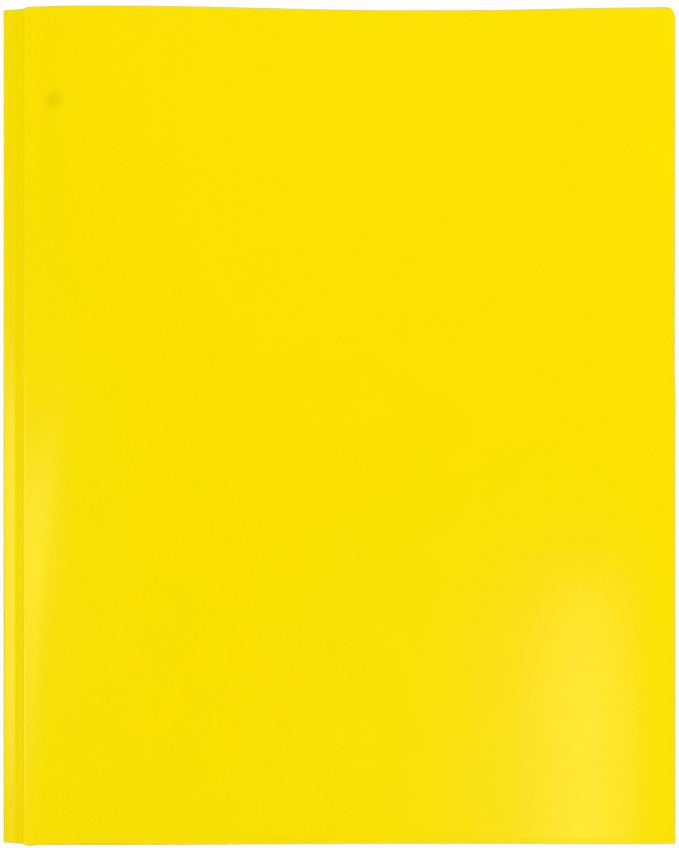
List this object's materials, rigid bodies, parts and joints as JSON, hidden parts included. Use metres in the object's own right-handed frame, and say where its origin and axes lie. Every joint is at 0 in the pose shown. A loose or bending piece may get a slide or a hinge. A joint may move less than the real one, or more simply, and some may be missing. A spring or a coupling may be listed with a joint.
{
  "type": "two-pocket plastic file folder",
  "caption": "Closed plastic file folder with an expanding folded spine, inside pockets and bending metal paper fasteners.",
  "frame": {"origin": "under the middle of the closed folder, on the surface that it lies on", "axes": "+Y along the spine towards the top edge, +X from the spine to the free edge, +Z out of the front cover"},
  "size_m": [0.235, 0.2922, 0.0081],
  "materials": {
    "folder_sheet": "fine sand-textured yellow polypropylene sheet, soft satin sheen",
    "fastener_metal": "tin-plated sheet steel, lightly brushed along its length"
  },
  "bodies": {
    "back": {"back_cover": "folder_sheet", "back_bottom_fold": "folder_sheet", "back_pocket": "folder_sheet", "fastener_strip": "folder_sheet", "fastener_base_top": "fastener_metal", "fastener_base_middle": "fastener_metal", "fastener_base_bottom": "fastener_metal"},
    "back_spine": {"back_spine_panel": "folder_sheet"},
    "front_spine": {"front_spine_panel": "folder_sheet"},
    "front": {"front_cover": "folder_sheet", "front_bottom_fold": "folder_sheet", "front_pocket": "folder_sheet"},
    "prong_top_upper": {"prong_top_upper": "fastener_metal"},
    "prong_top_lower": {"prong_top_lower": "fastener_metal"},
    "prong_middle_upper": {"prong_middle_upper": "fastener_metal"},
    "prong_middle_lower": {"prong_middle_lower": "fastener_metal"},
    "prong_bottom_upper": {"prong_bottom_upper": "fastener_metal"},
    "prong_bottom_lower": {"prong_bottom_lower": "fastener_metal"}
  },
  "joints": [
    {"name": "back_groove", "type": "hinge", "parent": "back", "child": "back_spine", "pos_m": [-0.11225, 0, 0.00025], "axis": [0, -1, 0], "range_deg": [0, 38]},
    {"name": "spine_fold", "type": "hinge", "parent": "back_spine", "child": "front_spine", "pos_m": [-0.11725, 0, 0.00416], "axis": [0, -1, 0], "range_deg": [0, 121]},
    {"name": "front_groove", "type": "hinge", "parent": "front_spine", "child": "front", "pos_m": [-0.11115, 0, 0.00591], "axis": [0, -1, 0], "range_deg": [0, 16]},
    {"name": "prong_top_upper_bend", "type": "hinge", "parent": "back", "child": "prong_top_upper", "pos_m": [-0.0998, 0.11355, 0.00573], "axis": [1, 0, 0], "range_deg": [0, 90]},
    {"name": "prong_top_lower_bend", "type": "hinge", "parent": "back", "child": "prong_top_lower", "pos_m": [-0.0998, 0.10235, 0.00443], "axis": [-1, 0, 0], "range_deg": [0, 90]},
    {"name": "prong_middle_upper_bend", "type": "hinge", "parent": "back", "child": "prong_middle_upper", "pos_m": [-0.0998, 0.0056, 0.00525], "axis": [1, 0, 0], "range_deg": [0, 90]},
    {"name": "prong_middle_lower_bend", "type": "hinge", "parent": "back", "child": "prong_middle_lower", "pos_m": [-0.0998, -0.0056, 0.00395], "axis": [-1, 0, 0], "range_deg": [0, 90]},
    {"name": "prong_bottom_upper_bend", "type": "hinge", "parent": "back", "child": "prong_bottom_upper", "pos_m": [-0.0998, -0.10235, 0.00347], "axis": [1, 0, 0], "range_deg": [0, 90]},
    {"name": "prong_bottom_lower_bend", "type": "hinge", "parent": "back", "child": "prong_bottom_lower", "pos_m": [-0.0998, -0.11355, 0.00477], "axis": [-1, 0, 0], "range_deg": [0, 90]}
  ],
  "couplings": [
    {"joint": "prong_top_upper_bend", "follows": "spine_fold", "ratio": 0.7438},
    {"joint": "prong_top_lower_bend", "follows": "spine_fold", "ratio": 0.7438},
    {"joint": "prong_middle_upper_bend", "follows": "spine_fold", "ratio": 0.7438},
    {"joint": "prong_middle_lower_bend", "follows": "spine_fold", "ratio": 0.7438},
    {"joint": "prong_bottom_upper_bend", "follows": "spine_fold", "ratio": 0.7438},
    {"joint": "prong_bottom_lower_bend", "follows": "spine_fold", "ratio": 0.7438}
  ]
}
